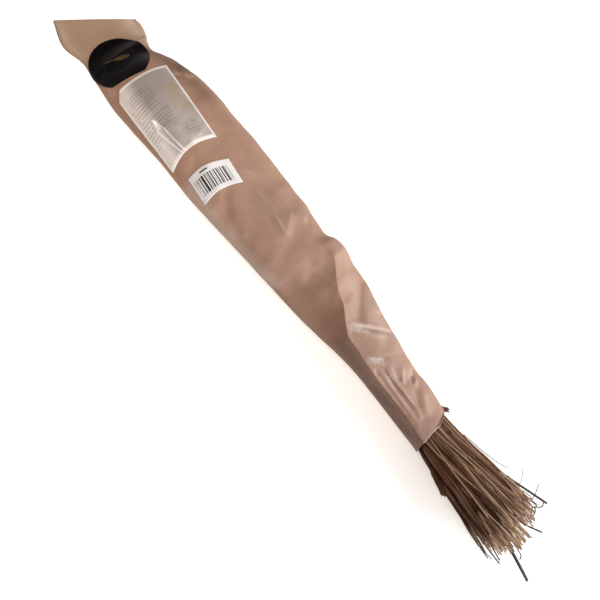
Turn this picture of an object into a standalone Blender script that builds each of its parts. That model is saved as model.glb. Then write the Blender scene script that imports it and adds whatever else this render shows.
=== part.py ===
# A bunch of dried bunny tail grass in a rolled kraft paper sleeve, lying on a surface.
# Metres, +Z up. +X runs from the sleeve's flat closed end to the cut ends of the stems.
# The origin is under the middle of the bunch, on the surface that it lies on.

import math
import random

import bmesh
import bpy
import numpy as np
from mathutils import Vector

MM = 0.001
SEED = 17

# Sections across the paper sleeve, in millimetres, from the flat end to the open mouth.
# Each one is: left edge x and y, right edge x and y, height, place of the crest across the
# section from 0 at the left edge to 1 at the right edge, and how sharply the crest is folded,
# from 0 for round to 1 for two flat facets.
SLEEVE_SECTIONS = [
    (0.0, 22.0, 46.0, 77.0, 1.8, 0.50, 0.00),
    (21.0, 14.0, 53.0, 77.5, 2.8, 0.50, 0.00),
    (48.5, 17.5, 64.5, 74.0, 6.5, 0.50, 0.00),
    (66.0, 14.6, 70.0, 69.0, 14.0, 0.50, 0.00),
    (90.0, 11.8, 86.0, 72.5, 24.0, 0.50, 0.00),
    (121.0, 10.5, 121.0, 79.5, 38.0, 0.50, 0.00),
    (170.0, 9.8, 170.0, 83.0, 47.0, 0.50, 0.00),
    (200.0, 9.8, 200.0, 85.0, 49.5, 0.50, 0.00),
    (245.0, 11.3, 245.0, 81.5, 48.5, 0.50, 0.00),
    (290.0, 13.0, 290.0, 77.0, 46.0, 0.52, 0.05),
    (307.0, 13.6, 307.0, 80.6, 45.0, 0.60, 0.20),
    (318.0, 14.0, 318.0, 81.2, 44.0, 0.66, 0.35),
    (334.0, 15.0, 334.0, 77.8, 43.0, 0.58, 0.50),
    (352.0, 17.0, 352.0, 76.0, 41.5, 0.43, 0.60),
    (376.0, 19.2, 376.0, 70.3, 40.0, 0.33, 0.65),
    (400.0, 20.0, 400.0, 66.5, 38.5, 0.25, 0.65),
    (428.0, 19.6, 428.0, 61.0, 37.0, 0.20, 0.60),
    (458.0, 18.2, 452.0, 58.5, 36.0, 0.17, 0.50),
    (487.5, 18.0, 474.0, 55.4, 35.0, 0.17, 0.40),
]
SLEEVE_SIDES = 28
NECK_END = 140.0            # the rings are closer up to this x, where the sleeve rises from flat
NECK_RINGS = 18
BODY_RINGS = 26
CAVITY_START = 62.0         # the two layers lie pressed together before this x
CAVITY_RINGS = 24
PAPER_WALL = 0.6
MID_HEIGHT_SHARE = 0.46     # height of the widest line of a section, as a share of its height
FLOOR_SPREAD = 1.2          # above 1, the paper lies flat on the surface along its middle

GAP = 0.35                  # between pieces that touch
STICKER_THICKNESS = 0.4

# Stickers and tape are placed by where they lie seen from above, in millimetres
STICKER_CENTRE = (71.0, 41.8)
STICKER_HALF_SIZE = (26.5, 24.0)    # a disc whose sides bend down with the paper
STICKER_TRIM = 19.5         # the straight edge's distance from the centre
STICKER_TRIM_TURN = math.radians(-18)
INFO_LABEL_CORNERS = [(93.0, 19.0), (103.3, 69.0), (183.0, 60.2), (179.0, 14.6)]
BARCODE_LABEL_CORNERS = [(191.0, 19.9), (200.5, 56.1), (223.8, 53.2), (216.6, 17.8)]
UPPER_TAPE_CORNERS = [(366.5, 47.0), (379.3, 59.3), (386.5, 51.5), (372.8, 39.5)]
LOWER_TAPE_CORNERS = [(397.0, 39.5), (410.9, 52.0), (415.0, 45.6), (402.6, 34.5)]

# Stems
STEM_COUNT = 92
STEM_RADIUS = 1.05
STEM_SIDES = 5
STEM_START = 252.0
STEM_START_SPREAD = 0.80    # share of the sleeve's section that they fill where they start
BAND_X = 452.0
MOUTH_X = 488.0
FAN_END_X = 600.0
FAN_END_DROP = (15.0, 11.0)  # how much shorter the fan's right side and its top are
FAN_CENTRE = (32.5, 21.5)   # y and z
FAN_HALF_SIZE = (32.5, 19.5)
GOLDEN_ANGLE = math.pi * (3 - math.sqrt(5))
# Stems that stray from the fan: x, y and z of a point in the fan, of a bend and of the end, radius
STRAY_STEMS = [
    ((520.0, 30.0, 14.0), (606.0, 24.0, 8.0), (638.6, 15.4, 4.0), 1.15),
    ((520.0, 49.0, 20.0), (565.0, 62.0, 25.0), (587.6, 69.7, 27.0), 1.0),
    ((520.0, 42.0, 24.0), (588.0, 46.0, 22.0), (607.7, 51.4, 18.0), 1.0),
    ((520.0, 25.0, 10.0), (566.0, 8.0, 6.0), (588.0, 1.4, 2.5), 0.9),
]
# Dry leaf scraps among the stems: three points along each, and its half width
LEAF_SCRAPS = [
    ((505.0, 24.0, 18.0), (520.0, 13.0, 17.0), (530.0, 6.5, 15.0), 2.2),
    ((466.0, 38.0, 16.0), (476.5, 51.0, 17.0), (479.5, 60.0, 17.5), 1.6),
    ((515.0, 45.0, 26.0), (545.0, 50.0, 36.0), (568.0, 55.0, 39.0), 1.8),
]
LEAF_HALF_THICKNESS = 0.45
# The bunch's inner core, which the stems stand out of: x, share of the fan or section filled
CORE_IN_SLEEVE = [(240.0, 0.30), (256.0, 0.30), (262.0, 0.62), (350.0, 0.66), (440.0, 0.66)]
CORE_IN_FAN = [(500.0, 0.60), (530.0, 0.50), (556.0, 0.28)]
CORE_SIDES = 14

# Rubber band
BAND_WIDTH = 5.0
BAND_THICKNESS = 1.4
BAND_SIDES = 28

# Flower heads
HEAD_RADIUS = 8.6
HEAD_LENGTH = 38.0
HEAD_SIDES = 8
HEAD_RINGS = 6
HEAD_ROW_X = [112.0, 142.0, 172.0, 202.0, 227.0]
HEADS_IN_ROW = [5, 9, 10, 10, 9]
HEAD_CORE_X = (104.0, 250.0)
HEAD_CORE_SHARE = 0.55
SOCKET_X = (238.0, 262.0)

# Colour, roughness of each finish
FINISHES = {
    "kraft_paper": ((0.42, 0.26, 0.16), 0.85),
    "black_gloss_film": ((0.008, 0.007, 0.008), 0.25),
    "label_paper": ((0.62, 0.57, 0.53), 0.45),
    "white_paper": ((0.78, 0.77, 0.76), 0.6),
    "clear_tape": ((0.60, 0.52, 0.45), 0.35),
    "dry_stem": ((0.22, 0.13, 0.07), 0.75),
    "dry_flower": ((0.66, 0.55, 0.38), 0.95),
    "rubber": ((0.45, 0.22, 0.10), 0.6),
}


def clear_scene():
    for obj in list(bpy.data.objects):
        bpy.data.objects.remove(obj, do_unlink=True)


def add_material(name):
    colour, roughness = FINISHES[name]
    material = bpy.data.materials.new(name)
    material.use_nodes = True
    shader = material.node_tree.nodes["Principled BSDF"]
    shader.inputs["Base Color"].default_value = (*colour, 1)
    shader.inputs["Roughness"].default_value = roughness
    shader.inputs["Metallic"].default_value = 0
    return material


def add_object(name, bm, finish=None):
    """Turn a mesh in millimetres into an object in metres."""
    bmesh.ops.scale(bm, vec=(MM, MM, MM), verts=bm.verts)
    bmesh.ops.recalc_face_normals(bm, faces=bm.faces)
    mesh = bpy.data.meshes.new(name)
    bm.to_mesh(mesh)
    bm.free()
    obj = bpy.data.objects.new(name, mesh)
    bpy.context.scene.collection.objects.link(obj)
    if finish:
        mesh.materials.append(add_material(finish))
    return obj


# The sleeve's surface

SECTION_X = np.array([(s[0] + s[2]) / 2 for s in SLEEVE_SECTIONS])
SECTION_VALUES = np.array(SLEEVE_SECTIONS)
SECTION_SLOPES = np.gradient(SECTION_VALUES, SECTION_X, axis=0)
SLEEVE_END_X = float(SECTION_X[-1])


def section_at(x):
    """The section's values at x, on a smooth curve through the listed sections."""
    x = min(max(x, SECTION_X[0]), SECTION_X[-1])
    i = min(int(np.searchsorted(SECTION_X, x, side="right")) - 1, len(SECTION_X) - 2)
    span = SECTION_X[i + 1] - SECTION_X[i]
    t = (x - SECTION_X[i]) / span
    start = (2 * t**3 - 3 * t**2 + 1) * SECTION_VALUES[i] + (t**3 - 2 * t**2 + t) * span * SECTION_SLOPES[i]
    end = (3 * t**2 - 2 * t**3) * SECTION_VALUES[i + 1] + (t**3 - t**2) * span * SECTION_SLOPES[i + 1]
    return start + end


def sleeve_point(x, angle, inset=0.0):
    """A point of the sleeve's section at x, moved inwards by inset.

    The angle is 0 at the left edge, a quarter turn at the crest and half a turn at the right edge.
    """
    left_x, left_y, right_x, right_y, height, crest, fold = section_at(x)
    across = Vector((right_x - left_x, right_y - left_y))
    left = Vector((left_x, left_y)) + across.normalized() * inset
    across -= across.normalized() * 2 * inset
    middle = height * MID_HEIGHT_SHARE
    share = (1 - math.cos(angle)) / 2
    if math.sin(angle) >= 0:
        turn = share * 2
        share = crest * turn if turn < 1 else crest + (turn - 1) * (1 - crest)
        rise = (1 - fold) * math.sin(angle) + fold * (1 - abs(math.cos(angle)))
        z = middle + (height - inset - middle) * rise
    else:
        z = middle - (middle - inset) * min(1, -FLOOR_SPREAD * math.sin(angle))
    place = left + across * share
    return Vector((place.x, place.y, z))


def point_from_above(x, y, lift):
    """The point of the sleeve's upper side under (x, y), raised by lift."""
    section_x = x
    for _ in range(12):
        left_x, left_y, right_x, right_y, _, crest, _ = section_at(section_x)
        share = min(max((y - left_y) / (right_y - left_y), 0), 1)
        section_x += x - (left_x + (right_x - left_x) * share)
    turn = share / crest if share < crest else 1 + (share - crest) / (1 - crest)
    return sleeve_point(section_x, math.acos(1 - turn), -lift)


def fill_point(x, angle, share, inset):
    """A point inside the sleeve: share 0 is its middle and share 1 is its wall, less inset."""
    left_x, left_y, right_x, right_y, height, _, _ = section_at(x)
    centre = Vector(((left_x + right_x) / 2, (left_y + right_y) / 2, height * MID_HEIGHT_SHARE))
    return centre.lerp(sleeve_point(x, angle, inset), share)


# Building blocks

def tube(sides, rings, place, ring_closed=False):
    """A capped tube whose vertex number s of ring r goes to place(r, angle)."""
    bm = bmesh.new()
    bmesh.ops.create_cone(bm, cap_ends=not ring_closed, segments=sides, radius1=1, radius2=1, depth=1)
    walls = [e for e in bm.edges if abs(e.verts[0].co.z - e.verts[1].co.z) > 0.5]
    if rings > 2:
        bmesh.ops.subdivide_edges(bm, edges=walls, cuts=rings - 2, use_grid_fill=True)
    if ring_closed:
        bmesh.ops.bridge_loops(bm, edges=[e for e in bm.edges if e.is_boundary])
    step = 2 * math.pi / sides
    for vert in bm.verts:
        ring = round((vert.co.z + 0.5) * (rings - 1))
        side = round(math.atan2(vert.co.y, vert.co.x) / step) % sides
        vert.co = place(ring, side * step)
    return bm


def slab(columns, rows, place, trim=None):
    """A thin sheet with thickness: flat grid point (u, v) at level 0 or 1 goes to place(u, v, level)."""
    bm = bmesh.new()
    bmesh.ops.create_grid(bm, x_segments=columns, y_segments=rows, size=1)
    if trim:
        trim(bm)
    sheet = bmesh.ops.extrude_face_region(bm, geom=bm.faces[:])
    bmesh.ops.translate(bm, vec=(0, 0, 1), verts=[v for v in sheet["geom"] if isinstance(v, bmesh.types.BMVert)])
    for vert in bm.verts:
        vert.co = place(*vert.co)
    return bm


def keep_outer_shell(mesh):
    """Fill the pockets that the union sealed and drop loose scraps: both are smaller shells."""
    bm = bmesh.new()
    bm.from_mesh(mesh)
    shells = []
    unseen = set(bm.faces)
    while unseen:
        shell, front = set(), [unseen.pop()]
        while front:
            face = front.pop()
            shell.add(face)
            linked = {other for edge in face.edges for other in edge.link_faces} & unseen
            unseen -= linked
            front.extend(linked)
        shells.append(shell)
    biggest = max(shells, key=lambda shell: sum(face.calc_area() for face in shell))
    bmesh.ops.delete(bm, geom=[face for face in bm.faces if face not in biggest], context="FACES")
    bm.to_mesh(mesh)
    bm.free()


def apply_boolean(base, operation, others):
    """Join the others to the base, or cut them out of it, and remove them."""
    collection = bpy.data.collections.new("operands")
    bpy.context.scene.collection.children.link(collection)
    for obj in others:
        bpy.context.scene.collection.objects.unlink(obj)
        collection.objects.link(obj)
    step = base.modifiers.new("Boolean", "BOOLEAN")
    step.operation = operation
    step.solver = "EXACT"
    step.operand_type = "COLLECTION"
    step.collection = collection
    evaluated = base.evaluated_get(bpy.context.evaluated_depsgraph_get())
    mesh = bpy.data.meshes.new_from_object(evaluated)
    base.modifiers.clear()
    keep_outer_shell(mesh)
    base.data = mesh
    for obj in others:
        bpy.data.objects.remove(obj, do_unlink=True)
    bpy.data.collections.remove(collection)


# The paper sleeve and what is stuck to it

def add_sleeve():
    neck_x = np.linspace(SECTION_X[0], NECK_END, NECK_RINGS, endpoint=False)
    body_x = np.linspace(NECK_END, SLEEVE_END_X, BODY_RINGS)
    inner_x = np.linspace(SLEEVE_END_X, CAVITY_START, CAVITY_RINGS)
    ring_x = np.concatenate([neck_x, body_x, inner_x])

    def place(ring, angle):
        return sleeve_point(ring_x[ring], angle, PAPER_WALL if ring >= NECK_RINGS + BODY_RINGS else 0)

    return add_object("paper_sleeve", tube(SLEEVE_SIDES, len(ring_x), place), "kraft_paper")


def add_label(name, corners, columns, rows, finish):
    """A sheet stuck on the sleeve between four corners, seen from above."""
    first, second, third, fourth = (Vector(c) for c in corners)

    def place(u, v, level):
        near = first.lerp(fourth, (u + 1) / 2)
        far = second.lerp(third, (u + 1) / 2)
        flat = near.lerp(far, (v + 1) / 2)
        return point_from_above(flat.x, flat.y, GAP + STICKER_THICKNESS * level)

    return add_object(name, slab(columns, rows, place), finish)


def add_round_sticker():
    edge = Vector((math.cos(STICKER_TRIM_TURN), math.sin(STICKER_TRIM_TURN), 0))

    def trim(bm):
        for vert in bm.verts:
            x, y = vert.co.x, vert.co.y
            vert.co.x = x * math.sqrt(1 - y * y / 2) * STICKER_HALF_SIZE[0]
            vert.co.y = y * math.sqrt(1 - x * x / 2) * STICKER_HALF_SIZE[1]
        bmesh.ops.bisect_plane(bm, geom=bm.verts[:] + bm.edges[:] + bm.faces[:], plane_co=edge * STICKER_TRIM,
                               plane_no=edge, clear_outer=True)

    def place(u, v, level):
        return point_from_above(STICKER_CENTRE[0] + u, STICKER_CENTRE[1] + v, GAP + STICKER_THICKNESS * level)

    return add_object("round_sticker", slab(10, 10, place, trim), "black_gloss_film")


# The bunch in the sleeve

def fan_point(x, angle, share):
    """A point of the fan of stems between the mouth and the cut ends."""
    mouth = fill_point(SLEEVE_END_X, angle, share, PAPER_WALL + GAP + STEM_RADIUS)
    end = Vector((0, FAN_CENTRE[0] - FAN_HALF_SIZE[0] * math.cos(angle) * share,
                  FAN_CENTRE[1] + FAN_HALF_SIZE[1] * math.sin(angle) * share))
    place = mouth.lerp(end, (x - MOUTH_X) / (FAN_END_X - MOUTH_X))
    return Vector((x, place.y, place.z))


def add_rod(points, half_width, half_height=None):
    """A stem, or a flat leaf, through the points, slightly thinner at its end."""
    half_height = half_height or half_width

    def place(ring, angle):
        size = 1 - 0.12 * ring / (len(points) - 1)
        return points[ring] + Vector((0, half_width * math.cos(angle), half_height * math.sin(angle))) * size

    return add_object("stem", tube(STEM_SIDES, len(points), place))


def add_stems(draw):
    levels = CORE_IN_SLEEVE + CORE_IN_FAN

    def core_place(ring, angle):
        x, share = levels[ring]
        if ring < len(CORE_IN_SLEEVE):
            return fill_point(x, angle, share, PAPER_WALL)
        return fan_point(x, angle, share)

    base = add_object("stems", tube(CORE_SIDES, len(levels), core_place), "dry_stem")
    rods = []
    for i in range(STEM_COUNT):
        share = math.sqrt((i + 0.5) / STEM_COUNT)
        angle = i * GOLDEN_ANGLE
        end_x = FAN_END_X - FAN_END_DROP[0] * max(0, -share * math.cos(angle))
        end_x += draw.uniform(-15, 4) - FAN_END_DROP[1] * share * math.sin(angle)
        start_x = STEM_START + draw.uniform(0, 8)
        wall = PAPER_WALL + GAP + STEM_RADIUS
        band = PAPER_WALL + BAND_THICKNESS + 2 * GAP + STEM_RADIUS
        start = fill_point(start_x, angle, share * STEM_START_SPREAD, wall)
        waist = fill_point(BAND_X, angle, share, band)
        mouth = fan_point(MOUTH_X, angle, share)
        bend = fan_point(MOUTH_X + 0.5 * (end_x - MOUTH_X), angle, share)
        bend += Vector((0, draw.uniform(-1.5, 1.5), draw.uniform(-1.2, 1.2)))
        end = fan_point(end_x, angle, share) + Vector((0, draw.uniform(-1.8, 1.8), draw.uniform(-1.0, 1.5)))
        end.z = max(end.z, STEM_RADIUS + 0.2)
        bend.z = max(bend.z, STEM_RADIUS + 0.2)
        rods.append(add_rod([start, waist, mouth, bend, end], STEM_RADIUS * draw.uniform(0.8, 1.0)))
    for start, bend, end, radius in STRAY_STEMS:
        rods.append(add_rod([Vector(start), Vector(bend), Vector(end)], radius))
    for start, bend, end, half_width in LEAF_SCRAPS:
        rods.append(add_rod([Vector(start), Vector(bend), Vector(end)], half_width, LEAF_HALF_THICKNESS))
    apply_boolean(base, "UNION", rods)
    return base


def add_rubber_band():
    outer = PAPER_WALL + GAP

    def place(ring, angle):
        x = BAND_X + BAND_WIDTH * (0.5 if ring in (1, 2) else -0.5)
        return sleeve_point(x, angle, outer + (BAND_THICKNESS if ring > 1 else 0))

    return add_object("rubber_band", tube(BAND_SIDES, 4, place, ring_closed=True), "rubber")


def add_head(centre, lean):
    """One soft oval head: blunt at the stem and narrower at its tip, which points to the closed end."""
    bm = bmesh.new()
    bmesh.ops.create_uvsphere(bm, u_segments=HEAD_SIDES, v_segments=HEAD_RINGS, radius=1)
    for vert in bm.verts:
        along, side, up = vert.co.z, vert.co.x, vert.co.y
        taper = 1 - 0.22 * along
        vert.co = centre + Vector((-along * HEAD_LENGTH / 2, side * taper * HEAD_RADIUS, up * taper * HEAD_RADIUS))
        vert.co += lean * along
    return add_object("head", bm)


def add_heads(draw):
    def core_place(ring, angle):
        x = HEAD_CORE_X[0] + (HEAD_CORE_X[1] - HEAD_CORE_X[0]) * ring / 4
        return fill_point(x, angle, HEAD_CORE_SHARE * (0.6 if ring in (0, 4) else 1), PAPER_WALL)

    base = add_object("flower_heads", tube(CORE_SIDES, 5, core_place), "dry_flower")
    heads = []
    for row_x, count in zip(HEAD_ROW_X, HEADS_IN_ROW):
        for i in range(count):
            angle = (i + 0.5 * (row_x % 4 > 1)) * 2 * math.pi / count + draw.uniform(-0.15, 0.15)
            x = row_x + draw.uniform(-5, 5)
            wall = PAPER_WALL + GAP + 1.25 * HEAD_RADIUS
            tip = fill_point(x - 0.4 * HEAD_LENGTH, angle, 0.97, wall)
            root = fill_point(x + 0.4 * HEAD_LENGTH, angle, 0.97, wall)
            lean = (tip - root) / 2
            lean.x = 0
            heads.append(add_head((tip + root) / 2, lean))
    apply_boolean(base, "UNION", heads)

    def socket_place(ring, angle):
        centre = fill_point(SOCKET_X[ring], angle, 0, 0)
        wall = fill_point(SOCKET_X[ring], angle, CORE_IN_SLEEVE[0][1], PAPER_WALL)
        return wall + (wall - centre).normalized() * GAP

    apply_boolean(base, "DIFFERENCE", [add_object("socket", tube(CORE_SIDES, 2, socket_place))])
    return base


def recentre(objects):
    """Move every mesh so that the origin is under the middle of the bunch's box."""
    points = np.array([v.co for obj in objects for v in obj.data.vertices])
    low, high = points.min(axis=0), points.max(axis=0)
    shift = Vector((-(low[0] + high[0]) / 2, -(low[1] + high[1]) / 2, -low[2]))
    for obj in objects:
        for vert in obj.data.vertices:
            vert.co += shift


def main():
    clear_scene()
    draw = random.Random(SEED)
    objects = [
        add_sleeve(),
        add_round_sticker(),
        add_label("info_label", INFO_LABEL_CORNERS, 10, 10, "label_paper"),
        add_label("barcode_label", BARCODE_LABEL_CORNERS, 4, 7, "white_paper"),
        add_label("tape_upper", UPPER_TAPE_CORNERS, 4, 6, "clear_tape"),
        add_label("tape_lower", LOWER_TAPE_CORNERS, 4, 6, "clear_tape"),
        add_stems(draw),
        add_rubber_band(),
        add_heads(draw),
    ]
    recentre(objects)


main()
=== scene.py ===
import functools
import math
import random

import bmesh
import bpy
import numpy as np
from mathutils import Matrix, Vector, noise
from mathutils.bvhtree import BVHTree


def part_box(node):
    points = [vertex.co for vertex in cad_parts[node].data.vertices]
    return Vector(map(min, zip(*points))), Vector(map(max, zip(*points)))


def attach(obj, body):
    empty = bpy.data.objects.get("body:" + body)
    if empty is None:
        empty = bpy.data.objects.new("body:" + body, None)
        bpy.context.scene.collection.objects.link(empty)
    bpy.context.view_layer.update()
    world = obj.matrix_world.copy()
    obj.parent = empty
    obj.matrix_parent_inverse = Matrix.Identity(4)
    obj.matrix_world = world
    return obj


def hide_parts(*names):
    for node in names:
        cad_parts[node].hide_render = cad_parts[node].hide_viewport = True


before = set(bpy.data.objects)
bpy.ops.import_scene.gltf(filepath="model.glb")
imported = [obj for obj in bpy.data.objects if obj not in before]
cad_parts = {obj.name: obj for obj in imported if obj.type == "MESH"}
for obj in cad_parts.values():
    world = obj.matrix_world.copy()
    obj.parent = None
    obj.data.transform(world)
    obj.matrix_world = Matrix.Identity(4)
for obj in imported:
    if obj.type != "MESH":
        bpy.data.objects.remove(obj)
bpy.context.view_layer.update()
print("frame loaded:", ", ".join(sorted(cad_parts)))

mm = 0.001
fullTurn = 2 * math.pi
draw = random.Random(23)


# The sleeve's form

sleeveForm = {
    # sections of the closed sleeve: left edge x and y, right edge x and y, height
    "sections": [
        (0, 22, 46, 77, 1.8),
        (21, 14, 53, 77.5, 2.8),
        (48.5, 17.5, 64.5, 74, 6.5),
        (66, 14.8, 68.5, 72.3, 14),
        (78, 13.6, 77.5, 69.9, 19),
        (92, 11.6, 89, 74.2, 25.5),
        (121, 11.3, 121, 83, 38),
        (170, 12, 170, 84.2, 47),
        (200, 10.8, 200, 84, 49.5),
        (245, 11.8, 245, 81.5, 48.5),
        (275, 12.6, 275, 79.3, 46.9),
        (288, 12.9, 288, 77.9, 46.1),
        (298, 13.3, 298, 77.4, 45.5),
        (306, 13.6, 306, 81.2, 45),
        (318, 14, 318, 81.4, 44),
        (334, 14.7, 334, 78, 43),
        (352, 15.9, 352, 76.6, 41.5),
        (376, 18.7, 376, 70.8, 40),
        (400, 20, 400, 66.5, 38.5),
        (428, 19.1, 428, 61, 37),
        (458, 17.4, 452, 59.6, 36),
        (487.5, 16, 474, 56.6, 35),
    ],
    "midHeight": 0.46,  # height of a section's widest line, as a share of its height
    "floorSpread": 1.2,  # above 1, the paper lies flat on the floor along its middle
    # x, the crest's place from 0 at the left edge to 1 at the right, how sharply the left and the right
    # side are folded into planes, and how far the rounded part is pulled flat on top
    "crest": [
        (0, 0.5, 0, 0, 0),
        (105, 0.5, 0, 0, 0),
        (150, 0.55, 0, 0, 0.4),
        (245, 0.6, 0, 0, 0.4),
        (285, 0.68, 0, 0, 0.4),
        (304, 0.78, 0.1, 0, 0.3),
        (316, 0.82, 0.3, 0.2, 0.15),
        (324, 0.76, 0.4, 0.4, 0.05),
        (332, 0.68, 0.5, 0.5, 0),
        (341, 0.61, 0.65, 0.55, 0),
        (352, 0.54, 0.75, 0.55, 0),
        (372, 0.32, 0.8, 0.45, 0.1),
        (405, 0.25, 0.8, 0.3, 0.2),
        (448, 0.26, 0.75, 0.2, 0.25),
        (490, 0.2, 0.7, 0.1, 0.3),
    ],
}
sections = np.array(sleeveForm["sections"])
sectionX = (sections[:, 0] + sections[:, 2]) / 2
sectionSlopes = np.gradient(sections, sectionX, axis=0)
tipX, mouthX = sectionX[0], sectionX[-1]
crestLine = np.array(sleeveForm["crest"]).T


def smoothAt(knots, values, slopes, x):
    # cubic curves through the knots
    x = np.clip(x, knots[0], knots[-1])
    i = np.clip(np.searchsorted(knots, x, side="right") - 1, 0, len(knots) - 2)
    span = (knots[i + 1] - knots[i])[..., None]
    t = (x - knots[i])[..., None] / span
    start = (2 * t**3 - 3 * t**2 + 1) * values[i] + (t**3 - 2 * t**2 + t) * span * slopes[i]
    end = (3 * t**2 - 2 * t**3) * values[i + 1] + (t**3 - t**2) * span * slopes[i + 1]
    return start + end


def sectionAt(x):
    return np.moveaxis(smoothAt(sectionX, sections, sectionSlopes, np.asarray(x, float)), -1, 0)


# the origin of the part's own frame, in the sleeve's millimetres
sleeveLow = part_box("paper_sleeve")[0]
partOrigin = Vector((-sleeveLow.x / mm, sectionAt(np.arange(tipX, mouthX))[1].min() - sleeveLow.y / mm, 0))


def smoothStep(low, high, x):
    t = np.clip((x - low) / (high - low), 0, 1)
    return t * t * (3 - 2 * t)


def bendToCrest(share, crest):
    # moves shares from left to right, so that the one halfway comes to lie at the crest
    return np.where(share < 0.5, 2 * share * crest, crest + (2 * share - 1) * (1 - crest))


def sleevePoints(x, angle, inset=0.0):
    # angle is 0 at the left edge, a quarter turn at the crest and half a turn at the right edge
    leftX, leftY, rightX, rightY, height = sectionAt(x)
    crest, leftFold, rightFold, flatness = (np.interp(x, crestLine[0], row) for row in crestLine[1:])
    middle = height * sleeveForm["midHeight"]
    share = (1 - np.cos(angle)) / 2
    upper = np.sin(angle) >= 0
    fold = np.where(share < 0.5, leftFold, rightFold)
    rounded = np.clip(np.sin(angle), 0, None) ** (1 - flatness)
    rise = (1 - fold) * rounded + fold * (1 - np.abs(np.cos(angle)))
    spread = np.minimum(1, -sleeveForm["floorSpread"] * np.sin(angle))
    z = np.where(upper, middle + (height - inset - middle) * rise, middle - (middle - inset) * spread)
    trim = inset / np.hypot(rightX - leftX, rightY - leftY)
    share = trim + np.where(upper, bendToCrest(share, crest), share) * (1 - 2 * trim)
    return np.stack([leftX + (rightX - leftX) * share, leftY + (rightY - leftY) * share, z], -1)


def fillPoints(x, angle, share, inset):
    # points inside the sleeve: share 0 is its middle, share 1 its wall less the inset
    leftX, leftY, rightX, rightY, height = sectionAt(x)
    centre = np.stack([(leftX + rightX) / 2, (leftY + rightY) / 2, height * sleeveForm["midHeight"]], -1)
    return centre + (sleevePoints(x, angle, inset) - centre) * np.asarray(share, float)[..., None]


def noiseAt(points, size, seed):
    # smooth noise between about -0.5 and 0.5 that changes over the given size
    shift = Vector((seed * 17.3, seed * -9.1, seed * 5.7))
    return np.array([noise.noise(Vector(p) / size + shift) for p in points])


# Materials

def linear(hexColour):
    # sRGB hex to linear red, green, blue and alpha
    parts = [int(hexColour[i:i + 2], 16) / 255 for i in (0, 2, 4)]
    return (*(c / 12.92 if c <= 0.04045 else ((c + 0.055) / 1.055) ** 2.4 for c in parts), 1.0)


def setInput(tree, node, key, value):
    # a socket is linked, a hex colour or a number is set on the node's own socket
    if isinstance(value, bpy.types.NodeSocket):
        tree.links.new(value, node.inputs[key])
    else:
        node.inputs[key].default_value = linear(value) if isinstance(value, str) else value


def addNode(tree, kind, settings, output=0):
    # kind may name an operation too; settings list its first inputs, or hold its properties, its inputs
    # and a ramp's stops by name; what comes back is one of its outputs
    kind, *operation = kind.split()
    node = tree.nodes.new("ShaderNode" + kind)
    if operation:
        node.operation = operation[0]
    for key, value in settings.items() if isinstance(settings, dict) else enumerate(settings):
        if key == "stops":
            while len(node.color_ramp.elements) < len(value):
                node.color_ramp.elements.new(1.0)
            for element, (place, colour) in zip(node.color_ramp.elements, value):
                element.position = place
                element.color = linear(colour)
        elif isinstance(key, str) and key not in node.inputs:
            setattr(node, key, value)
        else:
            setInput(tree, node, key, value)
    return node.outputs[output]


def newMaterial(name):
    material = bpy.data.materials.new(name)
    material.use_nodes = True
    add = functools.partial(addNode, material.node_tree)
    return material, add, add("TexCoord", {}, "Object")


def setShader(material, settings):
    shader = material.node_tree.nodes["Principled BSDF"]
    for key, value in settings.items():
        setInput(material.node_tree, shader, key, value)
    return material


def perSize(size):
    # a texture's scale for a pattern of this size in millimetres, in a mesh in metres
    return 1 / (size * mm)


def between(add, value, low, high, soft):
    # 1 where the value lies between low and high, with soft edges
    rising = add("MapRange", {"Value": value, "From Min": low - soft, "From Max": low + soft})
    falling = add("MapRange", {"Value": value, "From Min": high + soft, "From Max": high - soft})
    return add("Math MULTIPLY", [rising, falling])


def sheetAxes(add, place):
    # how far along and across a sheet a place lies
    return [add("SeparateXYZ", [place], axis) for axis in "XY"]


def blockOn(add, axes, corners, soft):
    # 1 inside a rectangle on a label: its ends along, then its ends across
    sides = [between(add, axis, *ends, soft) for axis, ends in zip(axes, (corners[:2], corners[2:]))]
    return add("Math MULTIPLY", sides)


def makeKraftPaper():
    # Unbleached kraft paper: reddish brown, matt with the faint sheen of machine glazing, cloudy fibres,
    # paler along its creases, yellower where faded, with painted light as paler patches and painted shade
    # as darker ones
    material, add, place = newMaterial("unbleached kraft paper")
    cloudy = add("TexNoise", {"Vector": place, "Scale": perSize(60), "Detail": 3.0, "Roughness": 0.5})
    fibres = add("TexNoise", {"Vector": place, "Scale": perSize(1.6), "Detail": 4.0, "Roughness": 0.6})
    tint = add("ValToRGB", {"Fac": cloudy, "stops": [(0.36, "997968"), (0.5, "a07d69"), (0.64, "a6826e")]})
    grain = add("ValToRGB", {"Fac": fibres, "stops": [(0.36, "f4f1ee"), (0.5, "fafaf9"), (0.66, "ffffff")]})
    colour = add("Mix", {"data_type": "RGBA", "blend_type": "MULTIPLY", 0: 1.0, 6: tint, 7: grain}, 2)
    # the attribute read here is paler creases and painted light above 0, and painted shade below 0
    wear, faded = (add("Attribute", {"attribute_name": name}, "Fac") for name in ("wear", "faded"))
    paintedShade = add("MapRange", {"Value": wear, "From Max": -1.0})
    # painted shade darkens toward 5c4237; crease paling and painted light pale toward cfb9a9
    for share, over in ((faded, "a0866d"), (paintedShade, "5c4237"), (wear, "cfb9a9")):
        colour = add("Mix", {"data_type": "RGBA", 0: share, 6: colour, 7: over}, 2)
    rough = add("MapRange", {"Value": fibres, "To Min": 0.55, "To Max": 0.7})
    crinkle = add("TexNoise", {"Vector": place, "Scale": perSize(9), "Detail": 2.0})
    coarse = add("Bump", {"Height": crinkle, "Strength": 0.3, "Distance": 0.5 * mm})
    fine = add("Bump", {"Height": fibres, "Normal": coarse, "Strength": 0.1, "Distance": 0.04 * mm})
    return setShader(material, {"Base Color": colour, "Roughness": rough, "Normal": fine, "IOR": 1.45,
                                "Specular IOR Level": 0.35})


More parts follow.
